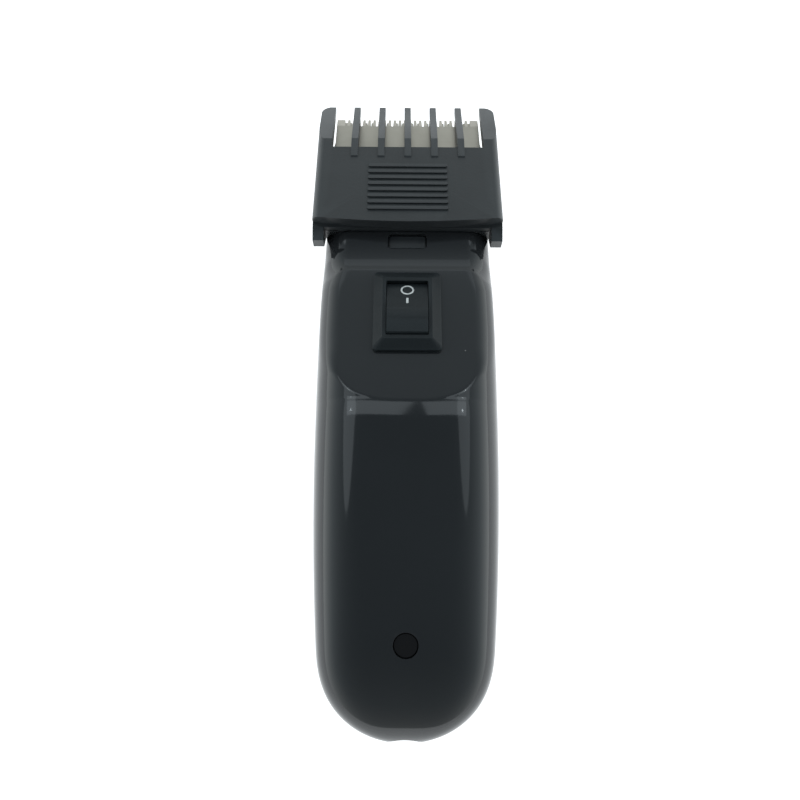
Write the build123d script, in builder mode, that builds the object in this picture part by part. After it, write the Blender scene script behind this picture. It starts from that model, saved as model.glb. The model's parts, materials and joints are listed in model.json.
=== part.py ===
# Cordless hair clipper with a slide-on cutting guide, millimetres.
# X across the handle, +Y toward the blade, +Z the switch side; the back rests on z = 0.
# Stations (s) are measured along the handle from its tail.
from build123d import *
from math import cos, sin, tan, atan2, hypot, radians, pi
import os

os.makedirs("parts", exist_ok=True)

# ---------------------------------------------------------------- driving dimensions
LENGTH = 153.2                           # tail to the guide's tine tips
PART_Z, WALL = 15.0, 2.0                 # parting plane and wall of the handle shells
HALF_WIDTH, CROWN_Z = 20.25, 33.6        # widest half width and highest line of the barrel
SEAM_S, SEAM_GAP = 112.25, 0.2           # end of the handle, shadow gap to the head
RIDGE_S, FACET_S, FACET_Z = 66.5, 71.8, 32.6   # rounded ridge, start of the switch flat
FACET_SLOPE, FACET_END_S = 14.0, 102.2
COVE_S, DECK_Z = 108.2, 23.5             # hollow below the flat, level deck of the neck
SHOULDER_R = 5.0                         # rounding between the flats and the sides

SWITCH_S = 90.85                         # middle of the rocker switch
BEZEL_W, BEZEL_L, BEZEL_H = 15.0, 20.6, 2.0
BODY_W, BODY_L, BODY_D = 13.0, 19.0, 13.0
ROCKER_W, ROCKER_L, ROCKER_R = 9.35, 14.3, 7.0   # opening, and the rocker's end radius
TRUNNION_R = 0.75

LENS_S, LENS_R = 19.55, 2.55
WINDOW_S, WINDOW_W, WINDOW_L = 110.0, 8.9, 3.7   # latch window
SCREW_X, SCREW_S = 13.5, (24.0, 93.0)            # shell screws
BOARD_Z, BOARD_T, BOARD_W, BOARD_L, BOARD_S = 18.4, 1.6, 19.0, 13.0, 20.1

BLADE_TIP_S, BLADE_TIP_Z, BLADE_SLOPE = 150.7, 9.0, 25.0
BLADE_W, BLADE_L, BLADE_T = 36.0, 18.0, 0.8
TOOTH_PITCH, TOOTH_DEPTH = 1.3, 3.4
CUTTER_W, CUTTER_L, CUTTER_T, CUTTER_GAP = 32.5, 10.4, 0.6, 0.05
LEDGE_W, LEDGE_Y = -2.0, -13.5           # seat under the fixed blade's rear

COMB_HALF_W, COMB_IN, COMB_T, COMB_SLOPE = 21.8, 19.3, 1.6, 18.9
COMB_S, COMB_Z, COMB_EDGE_S = 112.3, 29.0, 135.6
KNEE_S, KNEE_Z = 138.4, 20.1
TINE_PITCH, TINE_W, EAR_W, EAR_R = 6.4, 1.6, 3.5, 2.8

MOTOR_S0, MOTOR_S1, MOTOR_Z = 104.0, 121.5, 13.8
MOTOR_W, MOTOR_T, CAN_T = 15.5, 12.0, 0.6
SHAFT_R, FIT = 0.75, 0.04
ECCENTRIC, PIN_R, FORK_GAP = 0.8, 0.9, 2.65
CELL_R, CELL_S0, CELL_S1, CELL_Z = 7.2, 27.5, 76.0, 10.2
JACK_R = 4.5
LEAD_R = 0.55


def along(s):
    """Y of a station."""
    return s - LENGTH / 2


def cap(s, pole=0.0):
    """Rounding of the tail end, 0 at its pole and 1 past 20 mm."""
    u = min(max((s - pole) / (20.0 - pole), 0.0), 1.0)
    return (1 - (1 - u) ** 2.75) ** 0.5


def half_width(s):
    """Half width of the barrel, swelling gently to its middle."""
    return HALF_WIDTH - (0.0008 if s < 60 else 0.0004) * (s - 60) ** 2


def crown(s):
    """Height of the switch side's middle line."""
    return CROWN_Z - 0.00112 * (s - 82) ** 2


def belly(s):
    """Height of the back's middle line, which lifts toward the head."""
    return -0.8 + 0.0029 * max(s - 70.0, 0.0) ** 2


def facet_z(s):
    """Height of the switch flat."""
    return FACET_Z - (s - FACET_S) * tan(radians(FACET_SLOPE))


def deck(s):
    """Ridge, switch flat, hollow and level neck, as a height for each station."""
    low, high = radians(3), radians(FACET_SLOPE)
    bend = (FACET_S - RIDGE_S) / (sin(high) - sin(low))
    fall = facet_z(FACET_END_S) - DECK_Z
    scoop = ((COVE_S - FACET_END_S) ** 2 + fall ** 2) / (2 * fall)
    if s < RIDGE_S:
        return FACET_Z + (FACET_S - RIDGE_S) * tan((low + high) / 2) + (RIDGE_S - s) * tan(low)
    if s < FACET_S:
        return FACET_Z - bend * cos(high) + (bend ** 2 - (s - FACET_S + bend * sin(high)) ** 2) ** 0.5
    if s < FACET_END_S:
        return facet_z(s)
    return DECK_Z + scoop - (scoop ** 2 - (min(s, COVE_S) - COVE_S) ** 2) ** 0.5


def evenly(line, count):
    """Points spaced evenly along a dense line."""
    run = [0.0]
    for p, q in zip(line, line[1:]):
        run.append(run[-1] + hypot(q[0] - p[0], q[1] - p[1]))
    out, j = [], 0
    for i in range(count):
        want = run[-1] * i / (count - 1)
        while j < len(line) - 2 and run[j + 1] < want:
            j += 1
        f = min((want - run[j]) / (run[j + 1] - run[j]), 1.0)
        out.append(tuple(a + f * (b - a) for a, b in zip(line[j], line[j + 1])))
    return out


def quarter(s, upper, inset):
    """Section from the parting plane at +X up (or down) to the middle line, heights from PART_Z."""
    wide = (half_width(s) - inset) * cap(s, inset)
    edge = crown(s) - inset if upper else belly(s) + inset
    rise = (edge - PART_Z) * cap(s, inset) ** 0.85
    power = 0.5 if upper else 2 / 3
    turns = [pi / 2 * k / 240 for k in range(241)]
    line = [(wide * cos(a) ** power if a < pi / 2 else 0.0, rise * sin(a) ** power) for a in turns]
    flat = deck(s) - inset - PART_Z
    if not upper or rise <= flat + 0.02:
        return line
    radius = SHOULDER_R - inset                        # shoulder between the side and the flat
    near, far = 0.0, wide
    for _ in range(30):
        mid = (near + far) / 2
        gap = min(hypot(x - mid, z - flat + radius) for x, z in line)
        near, far = (mid, far) if gap > radius else (near, mid)
    touch = min(range(241), key=lambda k: hypot(line[k][0] - near, line[k][1] - flat + radius))
    x, z = line[touch]
    start = atan2(z - flat + radius, x - near)
    sweep_by = [start + (pi / 2 - start) * k / 24 for k in range(1, 25)]
    shoulder = [(near + radius * cos(a), flat - radius + radius * sin(a)) for a in sweep_by]
    return line[:touch] + shoulder + [(0.0, flat)]


def half_body(upper, inset=0.0, s_end=SEAM_S):
    """Upper or lower half of the barrel, lofted through its sections, moved in by inset."""
    first = inset + 0.15
    tail = [first + (20 - first) * (i / 9) ** 2 for i in range(9)]
    body = [20 + 4 * i for i in range(11)] + ([63 + 1.5 * i for i in range(9)] if upper else [66, 72])
    body += [78 + 6 * i for i in range(4)] + [100, 101.5, 102.6, 104.1, 106.0, 108.0, 110.0]
    with BuildPart() as half:
        for s in tail + body + [s_end]:
            side = evenly(quarter(s, upper, inset), 17)
            arch = Edge.make_spline(side + [(-x, z) for x, z in reversed(side[:-1])],
                                    parameters=[i / 32 for i in range(33)])
            with BuildSketch(Plane((0, along(s), PART_Z), x_dir=(1, 0, 0), z_dir=(0, -1, 0))):
                with BuildLine():
                    add(arch)
                    Line(arch @ 1, arch @ 0)
                make_face()
        loft()
    return half.part


def blade_point(y, w):
    """Y and Z of a point y along the blade plane and w above it."""
    a = radians(BLADE_SLOPE)
    return (along(BLADE_TIP_S) + y * cos(a) + w * sin(a), BLADE_TIP_Z - y * sin(a) + w * cos(a))


def comb_z(s):
    """Height of the guide's top plate."""
    return COMB_Z - (s - COMB_S) * tan(radians(COMB_SLOPE))


def station(s, z=0.0):
    """Plane square to the handle, its Y up and its normal toward the blade."""
    return Plane((0, along(s), z), x_dir=(-1, 0, 0), z_dir=(0, 1, 0))


def tilted(s, z, slope):
    """Plane on a face that falls toward the blade, its Y downhill."""
    a = radians(slope)
    return Plane((0, along(s), z), x_dir=(1, 0, 0), z_dir=(0, sin(a), cos(a)))


FACET = tilted(SWITCH_S, facet_z(SWITCH_S), FACET_SLOPE)
FACET_SIDE = Plane(FACET.origin, x_dir=FACET.y_dir, z_dir=(1, 0, 0))
BLADE = tilted(BLADE_TIP_S, BLADE_TIP_Z, BLADE_SLOPE)
BLADE_SIDE = Plane(BLADE.origin, x_dir=BLADE.y_dir, z_dir=(1, 0, 0))
COMB_TOP = tilted(COMB_S, COMB_Z, COMB_SLOPE)
LENS = tilted(LENS_S, crown(LENS_S), -8.0)

# ---------------------------------------------------------------- handle shells
upper_outer = half_body(True)
upper_inner = half_body(True, WALL, SEAM_S + 1)
lower_outer = half_body(False)
lower_inner = half_body(False, WALL, SEAM_S + 1)
screw_points = [(x, along(s)) for x in (-SCREW_X, SCREW_X) for s in SCREW_S]
post_points = [(x, along(s)) for x in (-8.2, 8.2) for s in (14.8, 25.4)]

with BuildPart() as front_ribs:
    with BuildSketch(Plane.XY.offset(PART_Z)):
        with Locations(*screw_points):
            Circle(2.5)
    extrude(amount=20)
    with BuildSketch(Plane.XY.offset(BOARD_Z + BOARD_T)):
        with Locations(*post_points):
            Circle(1.1)
    extrude(amount=12)
    add(upper_outer, mode=Mode.INTERSECT)

with BuildPart() as front_shell:
    add(upper_outer)
    add(upper_inner, mode=Mode.SUBTRACT)
    add(front_ribs.part)
    with BuildSketch(Plane.XY.offset(PART_Z)):
        with Locations(*screw_points):
            Circle(1.0)
    extrude(amount=6, mode=Mode.SUBTRACT)
    with BuildSketch(FACET):
        Rectangle(BODY_W + 0.2, BODY_L + 0.2)
    extrude(amount=4, both=True, mode=Mode.SUBTRACT)
    with BuildSketch(LENS):
        Circle(LENS_R + 0.05)
    extrude(amount=4, both=True, mode=Mode.SUBTRACT)
    with BuildSketch(Plane.XY.offset(DECK_Z)):
        with Locations((0, along(WINDOW_S))):
            RectangleRounded(WINDOW_W, WINDOW_L, 0.8)
    extrude(amount=4, both=True, mode=Mode.SUBTRACT)
    with BuildSketch(station(-1, PART_Z)):
        Circle(JACK_R + 0.1)
    extrude(amount=5, mode=Mode.SUBTRACT)
front_shell.part.label = "front_shell"

with BuildPart() as rear_ribs:
    with BuildSketch(Plane.XY):
        with Locations(*screw_points):
            Circle(3.6)
    extrude(amount=PART_Z)
    for s in (38.0, 66.0):
        with BuildSketch(station(s)):
            with Locations((0, 5)):
                Rectangle(40, 10)
            with Locations((0, CELL_Z)):
                Circle(CELL_R + 0.05, mode=Mode.SUBTRACT)
        extrude(amount=1.6)
    with BuildSketch(station(107)):
        with Locations((0, 6.5)):
            Rectangle(40, 13)
        with Locations((0, MOTOR_Z)):
            Rectangle(MOTOR_W + 0.2, MOTOR_T + 0.2, mode=Mode.SUBTRACT)
    extrude(amount=1.6)
    add(lower_outer, mode=Mode.INTERSECT)

with BuildPart() as rear_shell:
    add(lower_outer)
    add(lower_inner, mode=Mode.SUBTRACT)
    add(rear_ribs.part)
    with BuildSketch(Plane.XY):
        Rectangle(60, 2 * LENGTH)
    extrude(amount=-5, mode=Mode.SUBTRACT)
    with BuildSketch(Plane.XY.offset(PART_Z)):
        with Locations(*screw_points):
            Circle(1.1)
    extrude(amount=-20, mode=Mode.SUBTRACT)
    with BuildSketch(Plane.XY.offset(5)):
        with Locations(*screw_points):
            Circle(2.4)
    extrude(amount=-8, mode=Mode.SUBTRACT)
    with BuildSketch(station(-1, PART_Z)):
        Circle(JACK_R + 0.1)
    extrude(amount=5, mode=Mode.SUBTRACT)
rear_shell.part.label = "rear_shell"

with BuildPart() as shell_screws:
    with BuildSketch(Plane.XY.offset(3.6)):
        with Locations(*screw_points):
            Circle(2.2)
    extrude(amount=1.4)
    with BuildSketch(Plane.XY.offset(5)):
        with Locations(*screw_points):
            Circle(0.95)
    extrude(amount=15)
    with BuildSketch(Plane.XY.offset(3.6)):
        with Locations(*screw_points):
            Rectangle(2.6, 0.55)
            Rectangle(0.55, 2.6)
    extrude(amount=0.8, mode=Mode.SUBTRACT)
shell_screws.part.label = "shell_screws"

# ---------------------------------------------------------------- head
head_s0 = SEAM_S + SEAM_GAP
head_floor = 0.1405          # rise of the head's underside
with BuildPart() as head_cavity:
    with BuildSketch(Plane.YZ):
        with BuildLine():
            Polyline((along(112), 5.95), (along(141.3), 5.95 + 29.3 * head_floor), (along(142.3), 5),
                     (along(152), 5), (along(152), 12), blade_point(LEDGE_Y, 1), blade_point(LEDGE_Y, LEDGE_W),
                     blade_point(-BLADE_L - 0.6, LEDGE_W), blade_point(-BLADE_L - 1.2, -1.6),
                     (along(118.9), DECK_Z - 1.5), (along(112), DECK_Z - 1.5), close=True)
        make_face()
    extrude(amount=17.25, both=True)
    fillet(head_cavity.edges().filter_by(lambda e: abs(e.center().X) > 17 and e.center().Z < 9 and e.length > 10), 3.0)

with BuildPart() as head_frame:
    with BuildSketch(Plane.XY):
        with BuildLine():
            Polyline((-19.05, along(head_s0)), (19.05, along(head_s0)), (18.5, along(137)),
                     (18.0, along(146)), (-18.0, along(146)), (-18.5, along(137)), close=True)
        make_face()
    extrude(amount=30)
    with BuildSketch(Plane.YZ):
        with BuildLine():
            Polyline((along(head_s0), 4.45), (along(142.5), 4.45 + (142.5 - head_s0) * head_floor),
                     blade_point(-6.4, -BLADE_T), blade_point(-BLADE_L - 0.1, -BLADE_T),
                     blade_point(-BLADE_L - 0.1, 0),
                     (along(BLADE_TIP_S) - (DECK_Z - BLADE_TIP_Z) / tan(radians(BLADE_SLOPE)), DECK_Z),
                     (along(head_s0), DECK_Z), close=True)
        make_face()
    extrude(amount=25, both=True, mode=Mode.INTERSECT)
    sides = head_frame.edges().filter_by(lambda e: abs(e.center().X) > 17.5 and abs(e.tangent_at(0.5).X) < 0.1)
    fillet(sides.filter_by(lambda e: e.center().Z < 8 and e.length > 10), 5.0)
    add(head_cavity.part, mode=Mode.SUBTRACT)
    with BuildSketch(Plane.YZ.offset(18.2), Plane.YZ.offset(-20.2)):   # grooves for the guide
        with Locations((along(128), 17.3)):
            Rectangle(24, 1.8)
    extrude(amount=2, mode=Mode.SUBTRACT)
    with BuildSketch(Plane.XY.offset(DECK_Z - WALL - 0.25)):      # latch tongue
        with Locations((0, along(110.2))):
            Rectangle(12, 8)
    extrude(amount=-1.3)
    with BuildSketch(Plane.XY.offset(DECK_Z - WALL - 0.3)):
        with Locations((0, along(114.2))):
            Rectangle(12, 2.5)
    extrude(amount=1)
    with BuildSketch(Plane.XY.offset(DECK_Z - WALL - 0.3)):
        with Locations((0, along(WINDOW_S))):
            RectangleRounded(WINDOW_W - 0.6, WINDOW_L - 0.6, 0.6)
    extrude(amount=1.2)
    with BuildSketch(BLADE.offset(-BLADE_T)):
        with Locations((-12, -16), (12, -16)):
            Circle(0.95)
    extrude(amount=-3, mode=Mode.SUBTRACT)
head_frame.part.label = "head_frame"

with BuildPart() as blade_screws:
    with BuildSketch(BLADE):
        with Locations((-12, -16), (12, -16)):
            Circle(1.9)
    extrude(amount=0.9)
    with BuildSketch(BLADE):
        with Locations((-12, -16), (12, -16)):
            Circle(0.9)
    extrude(amount=-3.2)
    with BuildSketch(BLADE.offset(0.5)):
        with Locations((-12, -16), (12, -16)):
            Rectangle(2.2, 0.5)
            Rectangle(0.5, 2.2)
    extrude(amount=1, mode=Mode.SUBTRACT)
blade_screws.part.label = "blade_screws"

# ---------------------------------------------------------------- blades and their drive
gaps = int((BLADE_W - 2.6) / TOOTH_PITCH)
with BuildPart() as fixed_blade:
    with BuildSketch(BLADE):
        with Locations((0, -BLADE_L / 2)):
            Rectangle(BLADE_W, BLADE_L)
        with Locations((0, -TOOTH_DEPTH / 2 + 0.3)):
            with GridLocations(TOOTH_PITCH, 1, gaps, 1):
                Trapezoid(0.75, TOOTH_DEPTH + 0.6, 92.5, 92.5, mode=Mode.SUBTRACT)
        with Locations((-12, -16), (12, -16)):
            Circle(0.95, mode=Mode.SUBTRACT)
    extrude(amount=-BLADE_T)
    with BuildSketch(BLADE_SIDE):                                  # ground bevel of the teeth
        with BuildLine():
            Polyline((-3.2, 0.1), (-3.2, 0), (0.1, -0.45), (0.1, 0.1), close=True)
        make_face()
    extrude(amount=20, both=True, mode=Mode.SUBTRACT)
fixed_blade.part.label = "fixed_blade"

cutter_top = -BLADE_T - CUTTER_GAP
cutter_gaps = int((CUTTER_W - 2.0) / (1.5 * TOOTH_PITCH))
with BuildPart() as moving_blade:
    with BuildSketch(BLADE.offset(cutter_top)):
        with Locations((0, -0.7 - CUTTER_L / 2)):
            Rectangle(CUTTER_W, CUTTER_L)
        with Locations((0, -0.7 - 1.3)):
            with GridLocations(1.5 * TOOTH_PITCH, 1, cutter_gaps, 1):
                Trapezoid(1.1, 3.2, 93, 93, mode=Mode.SUBTRACT)
    extrude(amount=-CUTTER_T)
moving_blade.part.label = "moving_blade"

with BuildPart() as blade_spring:
    with BuildSketch(BLADE_SIDE.offset(10.5), BLADE_SIDE.offset(-13.5)):
        with BuildLine():
            Polyline((-17.6, -2.0), (-13.2, -2.0), (-11.8, -1.5), (-8.6, -1.5), (-8.6, -1.85),
                     (-11.9, -1.85), (-13.3, -2.4), (-17.6, -2.4), close=True)
        make_face()
    extrude(amount=3)
    with BuildSketch(BLADE):
        with Locations((-12, -16), (12, -16)):
            Circle(0.95)
    extrude(amount=-5, mode=Mode.SUBTRACT)
blade_spring.part.label = "blade_spring"

under = cutter_top - CUTTER_T
with BuildPart() as drive_block:
    with BuildSketch(Plane.YZ):
        with BuildLine():
            Polyline((along(128.8), 8.75), (along(140), 10.35), (along(143), 10.5), blade_point(-8.2, under),
                     blade_point(-11.4, under), (along(138.6), 11.75), (along(132), 11.2),
                     (along(128.8), 11.2), close=True)
        make_face()
    extrude(amount=4.4, both=True)
    with BuildSketch(Plane.XY.offset(11)):                         # fork round the cam pin
        with Locations((0, along(130.4))):
            Rectangle(8.8, 3.2)
            Rectangle(2 * FORK_GAP, 3.4, mode=Mode.SUBTRACT)
    extrude(amount=4.2)
drive_block.part.label = "drive_block"

with BuildPart() as eccentric_cam:
    with BuildSketch(station(123.2, MOTOR_Z)):
        Circle(3.2)
        Circle(SHAFT_R, mode=Mode.SUBTRACT)
    extrude(amount=2.6)
    with BuildSketch(station(125.8, MOTOR_Z)):
        Circle(3.2)
    extrude(amount=1.0)
    with BuildSketch(station(126.8, MOTOR_Z)):
        with Locations((0, ECCENTRIC)):
            Circle(PIN_R)
    extrude(amount=4.9)
    chamfer(eccentric_cam.faces().sort_by(Axis.Y)[-1].edges(), 0.2)
eccentric_cam.part.label = "eccentric_cam"

# ---------------------------------------------------------------- slide-on cutting guide
with BuildPart() as comb:
    with BuildSketch(Plane.YZ):
        with BuildLine():
            Polyline((along(COMB_S), COMB_Z), (along(KNEE_S), KNEE_Z), (along(151.9), 11.1),
                     (along(153.1), 10.3))
            Polyline((along(153.1), 10.3), (along(153.2), 9.9), (along(152.5), 9.2), (along(151.2), 9.0),
                     (along(140), 12.6), (along(131), 16.2), (along(114.5), 16.2), (along(109.4), 21.4),
                     (along(109.4), 24.8), (along(COMB_S), 25.6), (along(COMB_S), COMB_Z))
        make_face()
    extrude(amount=COMB_HALF_W, both=True)
    top_edges = comb.edges().filter_by(lambda e: abs(e.center().X) > 21 and e.center().Z > 15.4
                                       and e.center().Y > along(116))
    fillet(top_edges, 1.6)
    with BuildSketch(Plane.YZ):                                    # room for the head
        with BuildLine():
            Polyline((along(COMB_S + COMB_T), comb_z(COMB_S + COMB_T) - 1.75),
                     (along(134.9), comb_z(134.9) - 1.75), (along(137.4), 17.0), (along(151.0), 9.75),
                     (along(156), 6), (along(100), 6), (along(100), 40), (along(COMB_S - 0.01), 40),
                     (along(COMB_S - 0.01), 24.1), (along(COMB_S + COMB_T), 24.1), close=True)
        make_face()
    extrude(amount=COMB_IN, both=True, mode=Mode.SUBTRACT)
    with BuildSketch(Plane.XY.offset(5)):                          # open front between the ears
        with Locations((0, along(COMB_EDGE_S + 15))):
            Rectangle(2 * (COMB_HALF_W - EAR_W), 30)
    extrude(amount=30, mode=Mode.SUBTRACT)
    with BuildSketch(Plane.XY.offset(5)):                          # rounded outer corners of the ears
        with Locations((0, along(COMB_EDGE_S + 10))):
            Rectangle(60, 20)
        with Locations((0, LENGTH / 2 - 20)):
            RectangleRounded(2 * COMB_HALF_W, 40, EAR_R, mode=Mode.SUBTRACT)
    extrude(amount=30, mode=Mode.SUBTRACT)
    with BuildSketch(Plane.XY.offset(25.6)):                       # bowed rear edge
        with BuildLine():
            bow = ThreePointArc((-22, along(COMB_S + 1.3)), (0, along(COMB_S)), (22, along(COMB_S + 1.3)))
            Polyline(bow @ 1, (22, along(100)), (-22, along(100)), bow @ 0)
        make_face()
    extrude(amount=10, mode=Mode.SUBTRACT)
    with BuildSketch(*[Plane.YZ.offset(TINE_PITCH * k - TINE_W / 2) for k in range(-2, 3)]):   # tines
        with BuildLine():
            Polyline((along(131.6), comb_z(131.6) - 0.3), (along(132.6), comb_z(132.6) + 0.3),
                     (along(KNEE_S), KNEE_Z + 0.25), (along(151.9), 11.1), (along(153.1), 10.3))
            Polyline((along(153.1), 10.3), (along(153.2), 9.9), (along(152.4), 9.2), (along(151.6), 9.4),
                     (along(137.4), 17.0), (along(134.9), comb_z(134.9) - 1.75),
                     (along(131.6), comb_z(131.6) - 0.3))
        make_face()
    extrude(amount=TINE_W)
    with BuildSketch(COMB_TOP):                                    # thumb ridges
        with Locations((0, 11.0)):
            with GridLocations(1, 2.0, 1, 8):
                SlotOverall(18.6, 1.0)
    extrude(amount=0.35)
    with BuildSketch(Plane.YZ.offset(18.35), Plane.YZ.offset(-COMB_IN - 0.1)):   # ribs in the grooves
        with Locations((along(122.0), 17.3)):
            Rectangle(9, 1.2)
    extrude(amount=COMB_IN + 0.1 - 18.35)
comb.part.label = "comb"

# ---------------------------------------------------------------- rocker switch
with BuildPart() as switch_housing:
    with BuildSketch(FACET.offset(-BODY_D)):
        RectangleRounded(BODY_W, BODY_L, 0.4)
    extrude(amount=BODY_D)
    with BuildSketch(FACET):
        RectangleRounded(BEZEL_W, BEZEL_L, 1.0)
    extrude(amount=0.8)
    with BuildSketch(FACET.offset(0.8)):
        RectangleRounded(BEZEL_W, BEZEL_L, 1.0)
    with BuildSketch(FACET.offset(BEZEL_H)):
        RectangleRounded(ROCKER_W + 1.6, ROCKER_L + 1.8, 0.5)
    loft()
    with BuildSketch(FACET.offset(BEZEL_H)):
        RectangleRounded(ROCKER_W, ROCKER_L, 0.3)
    extrude(amount=-BEZEL_H - 7.3, mode=Mode.SUBTRACT)
    with BuildSketch(FACET.offset(-7)):                            # slots of the terminals
        with Locations((0, 4.5), (0, -4.5)):
            Rectangle(4.8, 0.8)
    extrude(amount=-8, mode=Mode.SUBTRACT)
    with BuildSketch(FACET_SIDE.offset(-5.6)):                     # trunnion holes
        Circle(TRUNNION_R + 0.05)
    extrude(amount=11.2, mode=Mode.SUBTRACT)
    with BuildSketch(FACET.offset(-3)):                            # snap barbs under the shell
        with Locations((0, BODY_L / 2 + 0.35), (0, -BODY_L / 2 - 0.35)):
            Rectangle(5, 0.7)
    extrude(amount=-2.5)
switch_housing.part.label = "switch_housing"

with BuildPart() as switch_rocker:
    with BuildSketch(FACET_SIDE.offset(-ROCKER_W / 2 + 0.13)):
        with BuildLine():
            ridge, low, high = (0, 2.6), (6.93, 1.0), (-6.57, 2.42)
            Line(ridge, low)
            RadiusArc(low, (6.32, -3.0), ROCKER_R)
            Line((6.32, -3.0), (-6.32, -3.0))
            RadiusArc((-6.32, -3.0), high, ROCKER_R)
            ThreePointArc(high, (-3.3, 2.95), ridge)
        make_face()
    extrude(amount=ROCKER_W - 0.26)
    with BuildSketch(FACET.offset(-3)):                            # hollow underside
        with Locations((0, 3.1), (0, -3.1)):
            Rectangle(6.6, 4.6)
    extrude(amount=2.2, mode=Mode.SUBTRACT)
    with BuildSketch(FACET_SIDE.offset(-5.4)):
        Circle(TRUNNION_R)
    extrude(amount=10.8)
switch_rocker.part.label = "switch_rocker"

with BuildPart() as switch_terminals:
    with BuildSketch(FACET.offset(-6.7)):
        with Locations((0, 4.5), (0, -4.5)):
            Rectangle(4.8, 0.8)
    extrude(amount=-12.8)
    with BuildSketch(FACET_SIDE.offset(-0.8)):                     # wire holes
        with Locations((4.5, -17.9), (-4.5, -17.9)):
            Rectangle(1.5, 0.8)
    extrude(amount=1.6, mode=Mode.SUBTRACT)
switch_terminals.part.label = "switch_terminals"

# ---------------------------------------------------------------- charge light and board
with BuildPart() as indicator_lens:
    with BuildSketch(LENS.offset(-WALL - 1.1)):
        Circle(LENS_R + 0.85)
    extrude(amount=1.0)
    with BuildSketch(LENS.offset(-WALL - 0.1)):
        Circle(LENS_R)
    extrude(amount=WALL - 0.3)
    chamfer(indicator_lens.faces().sort_by(Axis.Z)[-1].edges(), 0.25)
indicator_lens.part.label = "indicator_lens"

board_top = BOARD_Z + BOARD_T
with BuildPart() as circuit_board:
    with BuildSketch(Plane.XY.offset(BOARD_Z)):
        with Locations((0, along(BOARD_S))):
            RectangleRounded(BOARD_W, BOARD_L, 0.8)
    extrude(amount=BOARD_T)
circuit_board.part.label = "circuit_board"

with BuildPart() as indicator_led:
    with BuildSketch(Plane.XY.offset(board_top)):
        with Locations((0, along(LENS_S))):
            Circle(1.9)
    extrude(amount=0.8)
    with BuildSketch(Plane.XY.offset(board_top)):
        with Locations((0, along(LENS_S))):
            Circle(1.5)
    extrude(amount=4.4)
    fillet(indicator_led.edges().sort_by(Axis.Z)[-1], 1.2)
indicator_led.part.label = "indicator_led"

with BuildPart() as charge_chip:
    with BuildSketch(Plane.XY.offset(board_top)):
        with Locations((-5.4, along(22.2))):
            Rectangle(3.9, 4.9)
    extrude(amount=1.4)
    with BuildSketch(Plane.XY.offset(board_top)):                  # legs
        with Locations((-5.4, along(22.2))):
            with GridLocations(5.0, 1.2, 2, 4):
                Rectangle(1.2, 0.45)
    extrude(amount=0.5)
charge_chip.part.label = "charge_chip"

with BuildPart() as capacitor:
    with BuildSketch(Plane.XY.offset(board_top)):
        with Locations((5.4, along(22.4))):
            Circle(2.0)
    extrude(amount=4.0)
    fillet(capacitor.edges().sort_by(Axis.Z)[-1], 0.4)
capacitor.part.label = "capacitor"

with BuildPart() as resistor:
    with BuildSketch(Plane.YZ.offset(-7.6)):
        with Locations((along(16.6), board_top + 0.9)):
            Circle(0.85)
    extrude(amount=4.2)
    fillet(resistor.edges(), 0.3)
resistor.part.label = "resistor"

with BuildPart() as diode:
    with BuildSketch(Plane.YZ.offset(2.5)):
        with Locations((along(16.6), board_top + 1.1)):
            Circle(1.05)
    extrude(amount=4.4)
    fillet(diode.edges(), 0.2)
diode.part.label = "diode"

# ---------------------------------------------------------------- charge socket in the tail
with BuildPart() as charge_jack:
    with BuildSketch(station(0.9, PART_Z)):
        Circle(JACK_R)
    extrude(amount=12)
    with BuildSketch(station(4.7, PART_Z)):
        Circle(JACK_R + 1.1)
    extrude(amount=1.2)
    with BuildSketch(station(0.9, PART_Z)):
        Circle(2.85)
    extrude(amount=9.6, mode=Mode.SUBTRACT)
    with BuildSketch(station(10, PART_Z)):
        Circle(1.0)
        with Locations((2.4, 0)):
            Rectangle(0.4, 2.4)
    extrude(amount=4, mode=Mode.SUBTRACT)
    chamfer(charge_jack.edges().filter_by(GeomType.CIRCLE).sort_by(Axis.Y)[0:2], 0.35)
charge_jack.part.label = "charge_jack"

with BuildPart() as jack_contacts:
    with BuildSketch(station(2.4, PART_Z)):
        Circle(1.0)
    extrude(amount=11.6)
    fillet(jack_contacts.edges().sort_by(Axis.Y)[0], 0.5)
    with BuildSketch(station(4.0, PART_Z)):                        # side spring leaf
        with Locations((2.4, 0)):
            Rectangle(0.4, 2.4)
    extrude(amount=10)
jack_contacts.part.label = "jack_contacts"

# ---------------------------------------------------------------- cell
with BuildPart() as battery_cell:
    with BuildSketch(station(CELL_S0, CELL_Z)):
        Circle(CELL_R)
    extrude(amount=CELL_S1 - CELL_S0)
    fillet(battery_cell.edges(), 0.5)
    with BuildSketch(station(CELL_S1, CELL_Z)):
        Circle(2.75)
    extrude(amount=1.0)
battery_cell.part.label = "battery_cell"

with BuildPart() as battery_tabs:
    with BuildSketch(station(CELL_S0 - 0.3, CELL_Z), station(CELL_S1 + 1.0, CELL_Z)):
        RectangleRounded(7, 9, 0.8)
    extrude(amount=0.3)
battery_tabs.part.label = "battery_tabs"


def can_outline(inset=0.0):
    """Flat-sided round outline of the motor."""
    with BuildSketch() as outline:
        Circle(MOTOR_W / 2 - inset)
        Rectangle(MOTOR_W, MOTOR_T - 2 * inset, mode=Mode.INTERSECT)
    return outline.sketch


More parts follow.
